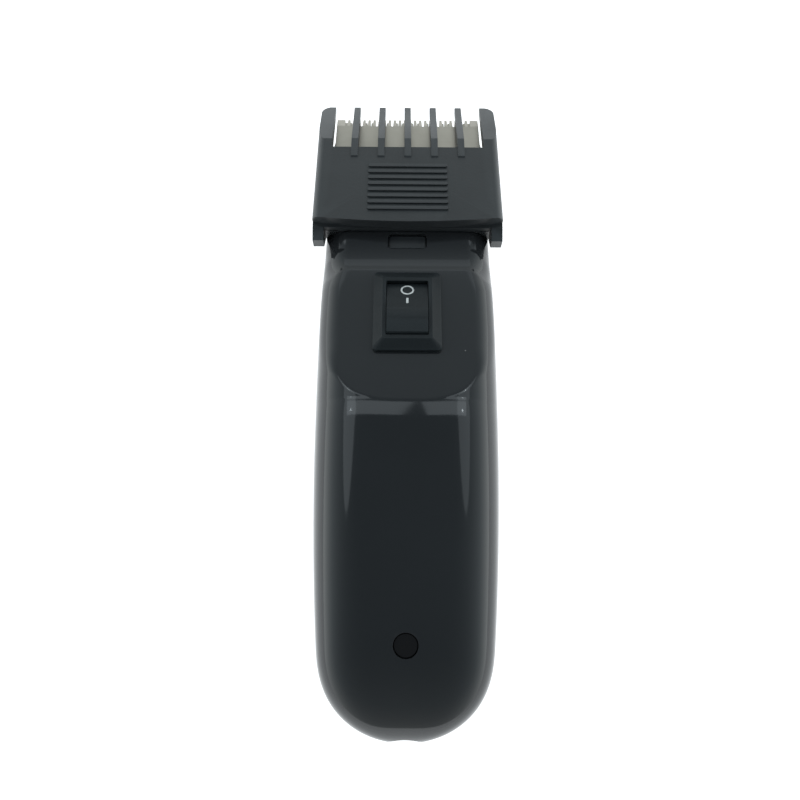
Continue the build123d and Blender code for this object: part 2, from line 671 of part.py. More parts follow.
# ---------------------------------------------------------------- motor
with BuildPart() as motor_can:
    with BuildSketch(station(MOTOR_S0 + 2, MOTOR_Z)):
        add(can_outline())
    extrude(amount=MOTOR_S1 - MOTOR_S0 - 2)
    with BuildSketch(station(MOTOR_S0 + 2, MOTOR_Z)):
        add(can_outline(CAN_T))
    extrude(amount=MOTOR_S1 - MOTOR_S0 - 2.8, mode=Mode.SUBTRACT)
    with BuildSketch(station(MOTOR_S1, MOTOR_Z)):
        Circle(2.4)
    extrude(amount=1.1)
    with BuildSketch(station(MOTOR_S1 - 2, MOTOR_Z)):
        Circle(1.6)
    extrude(amount=4, mode=Mode.SUBTRACT)
motor_can.part.label = "motor_can"

with BuildPart() as motor_end_cap:
    with BuildSketch(station(MOTOR_S0, MOTOR_Z)):
        add(can_outline())
        Circle(1.6, mode=Mode.SUBTRACT)
        with Locations((4.5, 0), (-4.5, 0)):
            Rectangle(2.0, 0.4, mode=Mode.SUBTRACT)
    extrude(amount=2)
    with BuildSketch(station(MOTOR_S0 + 2, MOTOR_Z)):              # spigot inside the can
        add(can_outline(CAN_T))
        add(can_outline(CAN_T + 0.8), mode=Mode.SUBTRACT)
    extrude(amount=0.8)
motor_end_cap.part.label = "motor_end_cap"

with BuildPart() as motor_magnets:
    with BuildSketch(station(108.4, MOTOR_Z)):
        add(can_outline(CAN_T))
        Circle(5.15, mode=Mode.SUBTRACT)
        Rectangle(20, 8.4, mode=Mode.INTERSECT)
    extrude(amount=11.4)
motor_magnets.part.label = "motor_magnets"

with BuildPart() as motor_bushes:
    with BuildSketch(station(MOTOR_S0, MOTOR_Z)):
        Circle(1.6)
        Circle(SHAFT_R + FIT, mode=Mode.SUBTRACT)
    extrude(amount=2.0)
    with BuildSketch(station(MOTOR_S1 - 0.8, MOTOR_Z)):
        Circle(1.6)
        Circle(SHAFT_R + FIT, mode=Mode.SUBTRACT)
    extrude(amount=1.9)
motor_bushes.part.label = "motor_bushes"

with BuildPart() as motor_terminals:
    with BuildSketch(station(100.5, MOTOR_Z)):
        with Locations((4.5, 0), (-4.5, 0)):
            Rectangle(2.0, 0.4)
    extrude(amount=5.5)
motor_terminals.part.label = "motor_terminals"

with BuildPart() as motor_brushes:
    with BuildSketch(Plane.XY.offset(MOTOR_Z - 2.9)):
        with Locations((2.12, along(107.1)), (-2.12, along(107.1))):
            Rectangle(0.3, 1.2)
    extrude(amount=5.8)
    with BuildSketch(Plane.XY.offset(MOTOR_Z + 2.4)):              # feet on the end cap
        with Locations((2.12, along(106.7)), (-2.12, along(106.7))):
            Rectangle(0.9, 1.4)
    extrude(amount=0.5)
motor_brushes.part.label = "motor_brushes"

with BuildPart() as motor_shaft:
    with BuildSketch(station(103.2, MOTOR_Z)):
        Circle(SHAFT_R)
    extrude(amount=22.6)
motor_shaft.part.label = "motor_shaft"

with BuildPart() as rotor_core:
    with BuildSketch(station(110.2, MOTOR_Z)):
        Circle(4.9)
        with PolarLocations(3.15, 3, start_angle=30):
            Circle(1.25, mode=Mode.SUBTRACT)
        with PolarLocations(4.6, 3, start_angle=30):
            Rectangle(1.8, 0.9, mode=Mode.SUBTRACT)
        Circle(SHAFT_R, mode=Mode.SUBTRACT)
    extrude(amount=7.6)
rotor_core.part.label = "rotor_core"

with BuildPart() as rotor_windings:
    with BuildSketch(station(109.0, MOTOR_Z), station(117.8, MOTOR_Z)):
        Circle(4.4)
        Circle(1.95, mode=Mode.SUBTRACT)
        with PolarLocations(4.6, 3, start_angle=30):
            Rectangle(1.8, 0.9, mode=Mode.SUBTRACT)
    extrude(amount=1.2)
    with BuildSketch(station(109.6, MOTOR_Z)):
        with PolarLocations(3.15, 3, start_angle=30):
            Circle(1.2)
    extrude(amount=8.8)
rotor_windings.part.label = "rotor_windings"

with BuildPart() as commutator:
    with BuildSketch(station(106.3, MOTOR_Z)):
        Circle(1.9)
        Circle(SHAFT_R, mode=Mode.SUBTRACT)
    extrude(amount=2.5)
    with BuildSketch(station(106.3, MOTOR_Z)):
        with PolarLocations(1.85, 3, start_angle=90):
            Rectangle(0.5, 0.15)
    extrude(amount=2.0, mode=Mode.SUBTRACT)
commutator.part.label = "commutator"

with BuildPart() as motor_bracket:
    with BuildSketch(station(MOTOR_S1 + 0.1, 0)):
        with Locations((0, 14.1)):
            RectangleRounded(33.6, 12.1, 2.9)
        with Locations((0, MOTOR_Z)):
            Circle(2.5, mode=Mode.SUBTRACT)
    extrude(amount=1.1)
motor_bracket.part.label = "motor_bracket"


# ---------------------------------------------------------------- leads
def lead(points, bend):
    """Insulated lead along straight runs joined by arcs."""
    with BuildPart() as wire:
        with BuildLine():
            route = FilletPolyline(*[(x, along(s), z) for x, s, z in points], radius=bend)
        with BuildSketch(Plane(route @ 0, z_dir=route % 0)):
            Circle(LEAD_R)
        sweep()
    return wire.part


with BuildPart() as lead_jack_plus:
    add(lead([(0, 14.0, PART_Z), (0, 16.0, PART_Z), (0, 16.0, BOARD_Z)], 1.2))
lead_jack_plus.part.label = "lead_jack_plus"

with BuildPart() as lead_jack_minus:
    add(lead([(-2.4, 14.0, PART_Z - 0.4), (-2.4, 17.0, PART_Z - 0.4), (-2.4, 17.0, BOARD_Z)], 1.4))
lead_jack_minus.part.label = "lead_jack_minus"

with BuildPart() as lead_cell_board:
    add(lead([(2.0, CELL_S0 - 0.3, 12.6), (2.0, 22.5, 12.6), (2.0, 22.5, BOARD_Z)], 2.0))
lead_cell_board.part.label = "lead_cell_board"

with BuildPart() as lead_cell_switch:
    add(lead([(1.4, CELL_S1 + 1.3, 8.0), (1.4, 79.4, 8.0), (1.4, 81.0, 10.9)], 1.0))
lead_cell_switch.part.label = "lead_cell_switch"

with BuildPart() as lead_switch_motor:
    add(lead([(-1.4, 91.5, 9.3), (-1.4, 96.0, 9.3), (-4.5, 98.9, MOTOR_Z), (-4.5, 100.5, MOTOR_Z)], 1.0))
lead_switch_motor.part.label = "lead_switch_motor"

with BuildPart() as lead_motor_board:
    add(lead([(4.5, 100.5, MOTOR_Z), (4.5, 99.2, MOTOR_Z), (4.5, 97.4, 10.4), (8.9, 91.0, 11.0),
              (8.9, 28.0, 12.6), (8.2, 23.6, 13.0), (8.2, 23.6, BOARD_Z)], [0.8, 1.2, 3.0, 3.0, 1.6]))
lead_motor_board.part.label = "lead_motor_board"

# ---------------------------------------------------------------- one file per piece
pieces = (front_shell, rear_shell, shell_screws, head_frame, blade_screws, fixed_blade, moving_blade, blade_spring,
          drive_block, eccentric_cam, comb, switch_housing, switch_rocker, switch_terminals, indicator_lens,
          indicator_led, circuit_board, charge_chip, capacitor, resistor, diode, charge_jack, jack_contacts,
          battery_cell, battery_tabs, motor_can, motor_end_cap, motor_magnets, motor_bushes, motor_terminals,
          motor_brushes, motor_shaft, rotor_core, rotor_windings, commutator, motor_bracket, lead_jack_plus,
          lead_jack_minus, lead_cell_board, lead_cell_switch, lead_switch_motor, lead_motor_board)
for piece in pieces:
    export_step(piece.part, f"parts/{piece.part.label}.step")
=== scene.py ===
import json
import math
import bmesh
import bpy
from mathutils import Matrix, Vector


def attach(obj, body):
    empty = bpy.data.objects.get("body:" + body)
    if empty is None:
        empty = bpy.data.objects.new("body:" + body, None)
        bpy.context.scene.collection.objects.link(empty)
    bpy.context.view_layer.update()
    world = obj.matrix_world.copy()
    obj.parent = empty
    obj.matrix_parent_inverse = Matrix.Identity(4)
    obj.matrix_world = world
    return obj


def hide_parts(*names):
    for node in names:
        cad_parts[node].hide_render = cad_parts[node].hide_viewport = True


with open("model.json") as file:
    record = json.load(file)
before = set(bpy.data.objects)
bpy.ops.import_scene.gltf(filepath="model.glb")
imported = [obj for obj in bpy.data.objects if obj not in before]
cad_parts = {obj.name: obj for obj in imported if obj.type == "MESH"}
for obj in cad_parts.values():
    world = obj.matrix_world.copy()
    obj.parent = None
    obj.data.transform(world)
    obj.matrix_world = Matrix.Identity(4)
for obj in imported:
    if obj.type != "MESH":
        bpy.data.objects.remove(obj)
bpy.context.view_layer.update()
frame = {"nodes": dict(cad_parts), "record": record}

nodes = frame["nodes"]
MM = 0.001
TAIL = -76.6


def put(mesh_name, bm, smooth=35.0):
    """New object from a bmesh, smooth except across edges sharper than the angle."""
    bmesh.ops.recalc_face_normals(bm, faces=bm.faces)
    for f in bm.faces:
        f.smooth = True
    for e in bm.edges:
        if len(e.link_faces) == 2:
            e.smooth = e.calc_face_angle(0.0) < math.radians(smooth)
    mesh = bpy.data.meshes.new(mesh_name)
    bm.to_mesh(mesh)
    bm.free()
    obj = bpy.data.objects.new(mesh_name, mesh)
    bpy.context.scene.collection.objects.link(obj)
    return obj


# ------------------------------------------------------------------ materials
def material(name, base, rough, metallic=0.0, coat=0.0, grain=(900.0, 0.04), tone=(40.0, 0.12),
             wear=0.0, specks=0.0, spec=0.5, blotch=(60.0, 0.2), fine=None):
    """Moulded or metal finish: tone drift, roughness drift, grain bump, edge wear and dust."""
    m = bpy.data.materials.new(name)
    m.use_nodes = True
    t = m.node_tree
    n, link = t.nodes, t.links
    b = n["Principled BSDF"]
    b.inputs["Metallic"].default_value = metallic
    b.inputs["Coat Weight"].default_value = coat
    b.inputs["Coat Roughness"].default_value = 0.04
    b.inputs["Specular IOR Level"].default_value = spec
    geo = n.new("ShaderNodeTexCoord")
    noise = n.new("ShaderNodeTexNoise")
    noise.inputs["Scale"].default_value = tone[0]
    noise.inputs["Detail"].default_value = 3.0
    link.new(geo.outputs["Object"], noise.inputs["Vector"])
    ramp = n.new("ShaderNodeValToRGB")
    lo, hi = 1.0 - tone[1], 1.0 + tone[1]
    ramp.color_ramp.elements[0].position = 0.3
    ramp.color_ramp.elements[1].position = 0.7
    ramp.color_ramp.elements[0].color = (base[0] * lo, base[1] * lo, base[2] * lo, 1)
    ramp.color_ramp.elements[1].color = (base[0] * hi, base[1] * hi, base[2] * hi, 1)
    link.new(noise.outputs["Fac"], ramp.inputs["Fac"])
    colour = ramp.outputs["Color"]
    if wear:
        point = n.new("ShaderNodeNewGeometry")
        edge = n.new("ShaderNodeValToRGB")
        edge.color_ramp.elements[0].position = 0.52
        edge.color_ramp.elements[1].position = 0.62
        edge.color_ramp.elements[1].color = (wear, wear, wear, 1)
        link.new(point.outputs["Pointiness"], edge.inputs["Fac"])
        mix = n.new("ShaderNodeMix")
        mix.data_type = "RGBA"
        link.new(edge.outputs["Color"], mix.inputs["Factor"])
        link.new(colour, mix.inputs["A"])
        pale = tuple(min(1.0, c * 3.0 + 0.02) for c in base)
        mix.inputs["B"].default_value = (*pale, 1)
        colour = mix.outputs["Result"]
    if specks:
        cells = n.new("ShaderNodeTexVoronoi")
        cells.inputs["Scale"].default_value = 230.0
        link.new(geo.outputs["Object"], cells.inputs["Vector"])
        dust = n.new("ShaderNodeMapRange")
        dust.inputs["From Min"].default_value = 0.045
        dust.inputs["From Max"].default_value = 0.02
        link.new(cells.outputs["Distance"], dust.inputs["Value"])
        pick = n.new("ShaderNodeMath")
        pick.operation = "MULTIPLY"
        keep = n.new("ShaderNodeMapRange")
        keep.inputs["From Min"].default_value = 0.86
        keep.inputs["From Max"].default_value = 0.9
        part = n.new("ShaderNodeSeparateColor")
        link.new(cells.outputs["Color"], part.inputs["Color"])
        link.new(part.outputs["Red"], keep.inputs["Value"])
        link.new(dust.outputs["Result"], pick.inputs[0])
        link.new(keep.outputs["Result"], pick.inputs[1])
        scale = n.new("ShaderNodeMath")
        scale.operation = "MULTIPLY"
        scale.inputs[1].default_value = specks
        link.new(pick.outputs["Value"], scale.inputs[0])
        mix = n.new("ShaderNodeMix")
        mix.data_type = "RGBA"
        link.new(scale.outputs["Value"], mix.inputs["Factor"])
        link.new(colour, mix.inputs["A"])
        mix.inputs["B"].default_value = (0.45, 0.44, 0.42, 1)
        colour = mix.outputs["Result"]
    link.new(colour, b.inputs["Base Color"])
    cloud = n.new("ShaderNodeTexNoise")
    cloud.inputs["Scale"].default_value = blotch[0]
    cloud.inputs["Detail"].default_value = 4.0
    link.new(geo.outputs["Object"], cloud.inputs["Vector"])
    rr = n.new("ShaderNodeMapRange")
    rr.inputs["From Min"].default_value = 0.3
    rr.inputs["From Max"].default_value = 0.7
    rr.inputs["To Min"].default_value = rough * (1 - blotch[1])
    rr.inputs["To Max"].default_value = rough * (1 + blotch[1])
    link.new(cloud.outputs["Fac"], rr.inputs["Value"])
    link.new(rr.outputs["Result"], b.inputs["Roughness"])
    g = n.new("ShaderNodeTexNoise")
    g.inputs["Scale"].default_value = grain[0]
    g.inputs["Detail"].default_value = 2.0
    if fine:
        stretch = n.new("ShaderNodeMapping")
        stretch.inputs["Scale"].default_value = fine
        link.new(geo.outputs["Object"], stretch.inputs["Vector"])
        link.new(stretch.outputs["Vector"], g.inputs["Vector"])
    else:
        link.new(geo.outputs["Object"], g.inputs["Vector"])
    bump = n.new("ShaderNodeBump")
    bump.inputs["Strength"].default_value = grain[1]
    bump.inputs["Distance"].default_value = 0.0002
    link.new(g.outputs["Fac"], bump.inputs["Height"])
    link.new(bump.outputs["Normal"], b.inputs["Normal"])
    return m


mats = {
    "shell_black": material("gloss_shell", (0.0205, 0.0220, 0.0238), 0.07, grain=(500, 0.006), tone=(30, 0.08),
                            specks=0.5, blotch=(45, 0.25)),
    "head_black": material("head_plastic", (0.020, 0.0225, 0.0245), 0.28, grain=(1200, 0.03), wear=0.25),
    "comb_plastic": material("comb_plastic", (0.024, 0.027, 0.029), 0.42, grain=(1600, 0.10), tone=(70, 0.12),
                             wear=0.35, specks=0.25, spec=0.36),
    "switch_black": material("switch_nylon", (0.0120, 0.0155, 0.0175), 0.50, grain=(1900, 0.12), tone=(90, 0.1),
                             wear=0.2, spec=0.22),
    "blade_steel": material("blade_steel", (0.285, 0.27, 0.235), 0.36, metallic=1.0, grain=(300, 0.10),
                            tone=(120, 0.10), fine=(1, 14, 14)),
    "screw_steel": material("screw_steel", (0.55, 0.55, 0.54), 0.3, metallic=1.0, wear=0.3),
    "spring_steel": material("spring_steel", (0.58, 0.58, 0.57), 0.25, metallic=1.0),
    "motor_steel": material("motor_steel", (0.55, 0.55, 0.54), 0.32, metallic=1.0, grain=(400, 0.05)),
    "nickel_strip": material("nickel_strip", (0.66, 0.63, 0.57), 0.25, metallic=1.0),
    "contact_brass": material("contact_brass", (0.72, 0.55, 0.27), 0.28, metallic=1.0),
    "copper_wire": material("copper_wire", (0.62, 0.25, 0.10), 0.3, metallic=1.0, grain=(700, 0.6),
                            fine=(1, 0.1, 1)),
    "white_nylon": material("acetal", (0.72, 0.71, 0.67), 0.35, tone=(60, 0.04)),
    "lens_dark": material("smoked_lens", (0.006, 0.005, 0.005), 0.07, coat=0.3, grain=(300, 0.01)),
    "led_red": material("led_epoxy", (0.5, 0.02, 0.02), 0.12, coat=0.5),
    "board_green": material("solder_mask", (0.015, 0.14, 0.05), 0.3, tone=(200, 0.15)),
    "chip_black": material("moulded_epoxy", (0.02, 0.02, 0.021), 0.4, wear=0.2),
    "capacitor_sleeve": material("capacitor_sleeve", (0.015, 0.025, 0.11), 0.2),
    "resistor_body": material("resistor_body", (0.52, 0.38, 0.22), 0.3),
    "cell_wrap": material("cell_wrap", (0.02, 0.2, 0.08), 0.2, tone=(50, 0.1)),
    "motor_cap": material("motor_cap", (0.75, 0.73, 0.68), 0.4, tone=(80, 0.04)),
    "magnet_ferrite": material("ferrite", (0.06, 0.06, 0.063), 0.5, grain=(900, 0.2)),
    "lead_red": material("lead_red", (0.42, 0.015, 0.015), 0.35),
    "lead_black": material("lead_black", (0.015, 0.015, 0.016), 0.35),
}
slot_of = {s["node"]: s["material_slot"] for s in frame["record"]["subparts"]}


def sharpen(angle):
    """Node group that shades smooth except across edges sharper than the angle."""
    g = bpy.data.node_groups.new("smooth_by_angle", "GeometryNodeTree")
    g.interface.new_socket("Geometry", in_out="INPUT", socket_type="NodeSocketGeometry")
    g.interface.new_socket("Geometry", in_out="OUTPUT", socket_type="NodeSocketGeometry")
    a, z = g.nodes.new("NodeGroupInput"), g.nodes.new("NodeGroupOutput")
    faces, edges = g.nodes.new("GeometryNodeSetShadeSmooth"), g.nodes.new("GeometryNodeSetShadeSmooth")
    edges.domain = "EDGE"
    edges.inputs["Shade Smooth"].default_value = False
    bend, test = g.nodes.new("GeometryNodeInputMeshEdgeAngle"), g.nodes.new("FunctionNodeCompare")
    test.data_type = "FLOAT"
    test.operation = "GREATER_THAN"
    test.inputs[1].default_value = math.radians(angle)
    g.links.new(a.outputs[0], faces.inputs["Geometry"])
    g.links.new(faces.outputs["Geometry"], edges.inputs["Geometry"])
    g.links.new(bend.outputs["Unsigned Angle"], test.inputs[0])
    g.links.new(test.outputs["Result"], edges.inputs["Selection"])
    g.links.new(edges.outputs["Geometry"], z.inputs[0])
    return g


smooth_group = sharpen(32.0)
crisp_group = sharpen(10.0)
rounded = {"comb": 0.22, "head_frame": 0.25, "switch_housing": 0.18, "switch_rocker": 0.2, "fixed_blade": 0.04,
           "moving_blade": 0.04, "drive_block": 0.15, "blade_screws": 0.08, "shell_screws": 0.1,
           "charge_jack": 0.1}
for name, obj in nodes.items():
    for i in range(len(obj.material_slots)):
        obj.material_slots[i].material = mats[slot_of[name]]
    if name in rounded:
        bevel = obj.modifiers.new("soft_edges", "BEVEL")
        bevel.width = rounded[name] * MM
        bevel.segments = 2
        bevel.limit_method = "ANGLE"
        bevel.angle_limit = math.radians(40)
        bevel.harden_normals = False
    shade = obj.modifiers.new("shading", "NODES")
    shade.node_group = crisp_group if name == "switch_rocker" else smooth_group

# ------------------------------------------------------------------ handle shells
# heights and stations along the handle, from its tail, in millimetres
PART, WALL, SEAM, SHOULDER = 15.0, 2.0, 112.25, 5.0
HALF_WIDTH, CROWN = 20.25, 33.6
FACET_S, FACET_Z, FACET_END, FACET_SLOPE = 71.8, 32.6, 102.2, 14.0
FACET_TAN = math.tan(math.radians(FACET_SLOPE))
COVE_S, DECK = 110.0, 23.5
BEND_S, BEND_END = 64.9, 70.0            # where the barrel bends down before the flat
TURNS, SIDE = 240, 60                    # steps of a dense quarter section, and of the mesh


def cap(s, pole=0.0):
    """Rounding of the tail end, 0 at its pole and 1 past 20 mm."""
    u = min(max((s - pole) / (20.0 - pole), 0.0), 1.0)
    return math.sqrt(max(0.0, 1 - (1 - u) ** 2.75))


def ease(t):
    """Smooth step from 0 to 1."""
    t = min(max(t, 0.0), 1.0)
    return t * t * (3 - 2 * t)


def deck(s):
    """Switch flat, hollow and level neck, seen from the side."""
    if s < FACET_END:
        return FACET_Z - (s - FACET_S) * FACET_TAN
    drop = FACET_Z - (FACET_END - FACET_S) * FACET_TAN - DECK
    r = ((COVE_S - FACET_END) ** 2 + drop ** 2) / (2 * drop)     # concave arc down to the deck
    return DECK + r - math.sqrt(r * r - (min(s, COVE_S) - COVE_S) ** 2)


def crown(s):
    """Middle line of the barrel, bending down just before it meets the switch flat."""
    bend = 0.0129 * max(min(s, BEND_END) - BEND_S, 0.0) ** 2 * (1 - ease((s - BEND_END) / 12))
    return CROWN - 0.00112 * (s - 82) ** 2 - bend


def scoop(s):
    """How far the hollow dips below the line of the switch flat."""
    return max(0.0, FACET_Z - (s - FACET_S) * FACET_TAN - deck(s))


def soft_min(a, b, k):
    """Smaller of two heights, blended over a width k."""
    h = max(k - abs(a - b), 0.0) / k
    return min(a, b) - h * h * k / 4


def side_line(s, upper, inset):
    """Section from the parting plane at +X to the middle line, heights from the parting plane."""
    narrowing = (0.0008 if s < 60 else 0.0004) * (s - 60) ** 2
    wide = (HALF_WIDTH - narrowing - inset) * cap(s, inset)
    edge = crown(s) - inset if upper else -0.8 + 0.0029 * max(s - 70, 0) ** 2 + inset
    rise = (edge - PART) * cap(s, inset) ** 0.85
    power = 0.5 if upper else 2 / 3
    turns = [math.pi / 2 * k / TURNS for k in range(TURNS + 1)]
    line = [(wide * math.cos(a) ** power if k < TURNS else 0.0, rise * math.sin(a) ** power)
            for k, a in enumerate(turns)]
    flat = deck(s) - inset - PART
    if not upper or rise <= flat + 0.02:
        return line
    radius = SHOULDER - inset        # the outer shoulder starts crisp and softens toward the head
    if not inset:
        radius = 0.6 + (SHOULDER - 0.6) * ease((s - BEND_END) / 14) + ease((s - 97) / 6)
    near, far = 0.0, wide
    for _ in range(30):
        mid = (near + far) / 2
        gap = min(math.hypot(x - mid, z - flat + radius) for x, z in line)
        near, far = (mid, far) if gap > radius else (near, mid)
    touch = min(range(TURNS + 1), key=lambda k: math.hypot(line[k][0] - near, line[k][1] - flat + radius))
    start = math.atan2(line[touch][1] - flat + radius, line[touch][0] - near)
    bend = [start + (math.pi / 2 - start) * k / 24 for k in range(1, 25)]
    return line[:touch] + [(near + radius * math.cos(a), flat - radius + radius * math.sin(a))
                           for a in bend] + [(0.0, flat)]


def arch(s, upper, inset):
    """Section of a half shell at a station, as evenly spaced points from +X over to -X."""
    line = side_line(s, upper, inset)
    run = [0.0]
    for p, q in zip(line, line[1:]):
        run.append(run[-1] + math.hypot(q[0] - p[0], q[1] - p[1]))
    side, j = [], 0
    for i in range(SIDE + 1):
        want = run[-1] * i / SIDE
        while j < len(line) - 2 and run[j + 1] < want:
            j += 1
        f = min((want - run[j]) / ((run[j + 1] - run[j]) or 1.0), 1.0)
        x, z = (a + f * (b - a) for a, b in zip(line[j], line[j + 1]))
        z += PART
        if not upper:
            z = max(z, inset * 0.6) if inset else -soft_min(-z, 0.0, 0.15)
        elif s > 88:
            # rounded corners where the hollow starts
            late = min(0.12 * max(x - 13.0, 0.0) ** 2, 2.5)
            z -= (scoop(s + late) - scoop(s)) * ease((z - 19) / 3)
        side.append((x, z))
    return side + [(-x, z) for x, z in reversed(side[:-1])]


def stations(first):
    """Closer together at the tail and over the ridge and the hollow."""
    out = [first + (20 - first) * (i / 44) ** 2.2 for i in range(44)]
    s = 20.0
    while s < SEAM - 0.2:
        out.append(s)
        s += 0.3 if 65 < s < 76 or s > 96 else 1.2
    return out + [SEAM]


def half_shell(name, upper):
    """Closed shell between an outer and an inner skin, open at the parting plane and the seam."""
    bm = bmesh.new()
    skins, last = [], 2 * SIDE
    for inset in (0.0, WALL):
        rows = []
        for s in stations(inset + 0.15):
            rows.append([bm.verts.new((x * MM, (s + TAIL) * MM, z * MM))
                         for x, z in arch(s, upper, inset)])
        skins.append(rows)
        for a, b in zip(rows, rows[1:]):
            for i in range(last):
                bm.faces.new((a[i], a[i + 1], b[i + 1], b[i]))
    outer, inner = skins
    for r in (0, -1):
        for i in range(last):
            bm.faces.new((outer[r][i], outer[r][i + 1], inner[r][i + 1], inner[r][i]))
    for i in (0, last):
        a, b = [row[i] for row in outer], [row[i] for row in inner]
        for k in range(len(a) - 1):
            bm.faces.new((a[k], a[k + 1], b[k + 1], b[k]))
    return put(name, bm, 40)


def tilted(s, z, slope):
    """Frame of a plane that falls toward the blade: X across, Y downhill, Z out."""
    a = math.radians(slope)
    return Matrix(((1, 0, 0, 0), (0, math.cos(a), math.sin(a), (s + TAIL) * MM),
                   (0, -math.sin(a), math.cos(a), z * MM), (0, 0, 0, 1)))


def bridge(bm, loops):
    """Faces between each closed loop of vertices and the next one."""
    for a, b in loops:
        for i in range(len(a)):
            j = (i + 1) % len(a)
            bm.faces.new((a[i], a[j], b[j], b[i]))


def block(matrix, outline, low, high, name="cutter"):
    """Straight prism from an outline of points in millimetres."""
    bm = bmesh.new()
    rings = [[bm.verts.new(matrix @ Vector((x * MM, y * MM, h * MM))) for x, y in outline]
             for h in (low, high)]
    bm.faces.new(rings[0])
    bm.faces.new(rings[1])
    bridge(bm, [rings])
    return put(name, bm)


def round_rect(w, h, r, n=8, y=0.0):
    """Outline of a rectangle with rounded corners, its middle at height y."""
    pts = []
    u, v = w / 2 - r, h / 2 - r
    for quarter, (cx, cy) in enumerate(((u, v), (-u, v), (-u, -v), (u, -v))):
        for i in range(n + 1):
            a = math.radians(90 * quarter + 90 * i / n)
            pts.append((cx + r * math.cos(a), y + cy + r * math.sin(a)))
    return pts


def circle(r, n=64, x=0.0, y=0.0):
    turns = [2 * math.pi * i / n for i in range(n)]
    return [(x + r * math.cos(a), y + r * math.sin(a)) for a in turns]


def carve(obj, cutters, bevel=0.12):
    """Cuts holes, applies them, and rounds the sharp edges a little."""
    for c in cutters:
        mod = obj.modifiers.new("cut", "BOOLEAN")
        mod.object = c
        mod.solver = "EXACT"
    dg = bpy.context.evaluated_depsgraph_get()
    mesh = bpy.data.meshes.new_from_object(obj.evaluated_get(dg))
    obj.modifiers.clear()
    old = obj.data
    obj.data = mesh
    bpy.data.meshes.remove(old)
    for c in cutters:
        bpy.data.objects.remove(c)
    mod = obj.modifiers.new("edges", "BEVEL")
    mod.width = bevel * MM
    mod.segments = 2
    mod.limit_method = "ANGLE"
    mod.angle_limit = math.radians(50)
    mod.use_clamp_overlap = True
    shade = obj.modifiers.new("shading", "NODES")
    shade.node_group = smooth_group


SWITCH_S, LENS_S, WINDOW_S = 90.85, 19.55, 110.0
SCREWS = [(x, s) for x in (-13.5, 13.5) for s in (24.0, 93.0)]
SOCKET_R, SCREW_HEAD_R, SCREW_FLOOR = 4.6, 2.4, 5.0
FACET = tilted(SWITCH_S, FACET_Z - (SWITCH_S - FACET_S) * FACET_TAN, FACET_SLOPE)
LENS = tilted(LENS_S, crown(LENS_S), -8)
WINDOW = tilted(WINDOW_S, DECK, 0)
SOCKET = Matrix(((1, 0, 0, 0), (0, 0, -1, TAIL * MM), (0, 1, 0, PART * MM), (0, 0, 0, 1)))

front = half_shell("front_shell_skin", True)
carve(front, [block(FACET, round_rect(13.2, 19.2, 0.3), -6, 3), block(LENS, circle(2.6), -5, 3),
              block(WINDOW, round_rect(8.9, 3.7, 0.8), -5, 3), block(SOCKET, circle(SOCKET_R), -6, 2)])
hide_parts("front_shell")
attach(front, "case")
front.data.materials.clear()
front.data.materials.append(mats["shell_black"])

rear = half_shell("rear_shell_skin", False)
holes = [block(tilted(s, 0, 0), circle(SCREW_HEAD_R, 48, x), -2, SCREW_FLOOR) for x, s in SCREWS]
carve(rear, holes + [block(SOCKET, circle(SOCKET_R), -6, 2)])
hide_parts("rear_shell")
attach(rear, "case")
rear.data.materials.clear()
rear.data.materials.append(mats["shell_black"])

# screw posts inside the rear shell: radius and height of each corner of their section
POST = ((3.6, 2.9), (3.6, 14.9), (1.1, 14.9), (1.1, SCREW_FLOOR), (2.42, SCREW_FLOOR), (2.42, 2.9))
bm = bmesh.new()
for x, s in SCREWS:
    loops = [[bm.verts.new(Vector((px, py, z)) * MM) for px, py in circle(r, 48, x, s + TAIL)]
             for r, z in POST]
    bridge(bm, zip(loops, loops[1:] + loops[:1]))
bosses = put("screw_bosses", bm)
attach(bosses, "case")
bosses.data.materials.append(mats["shell_black"])

# ------------------------------------------------------------------ O and I marks on the rocker
mark_white = material("mark_paint", (0.62, 0.63, 0.62), 0.5, grain=(2500, 0.2), tone=(900, 0.25))
RIDGE_H, FOOT_H, FOOT_Y = 2.6, 1.0, 6.93       # ridge and blade-side foot of the rocker's profile
MARK = (FACET @ Matrix.Translation((0, 0, RIDGE_H * MM))
        @ Matrix.Rotation(-math.atan2(RIDGE_H - FOOT_H, FOOT_Y), 4, "X"))
SUNK, RAISED = -0.01, 0.03                     # bottom and top of the paint


def ring(name, centre_y, outer, inner):
    """Flat ring with slightly sloping sides, painted on the rocker."""
    bm = bmesh.new()
    loops = [[bm.verts.new(MARK @ Vector((x * MM, y * MM, h * MM))) for x, y in circle(r, 64, 0.0, centre_y)]
             for r, h in ((outer, SUNK), (outer - 0.02, RAISED), (inner + 0.02, RAISED), (inner, SUNK))]
    bridge(bm, zip(loops, loops[1:] + loops[:1]))
    return put(name, bm)


off_mark = ring("off_mark", 5.1, 1.5, 1.1)
on_mark = block(MARK, round_rect(0.5, 1.7, 0.12, 4, 1.65), SUNK, RAISED, "on_mark")
for mark in (off_mark, on_mark):
    mark.data.materials.append(mark_white)
    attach(mark, "rocker")

# ------------------------------------------------------------------ floor, light, camera
bpy.ops.mesh.primitive_plane_add(size=6)
floor = bpy.context.object
floor.name = "floor"
floor_mat = bpy.data.materials.new("floor_white")
floor_mat.use_nodes = True
fb = floor_mat.node_tree.nodes["Principled BSDF"]
fb.inputs["Base Color"].default_value = (0.93, 0.93, 0.93, 1)
fb.inputs["Roughness"].default_value = 0.9
fb.inputs["Specular IOR Level"].default_value = 0.1
fb.inputs["Emission Color"].default_value = (1.0, 1.0, 1.0, 1)
fb.inputs["Emission Strength"].default_value = 0.9
floor.data.materials.append(floor_mat)

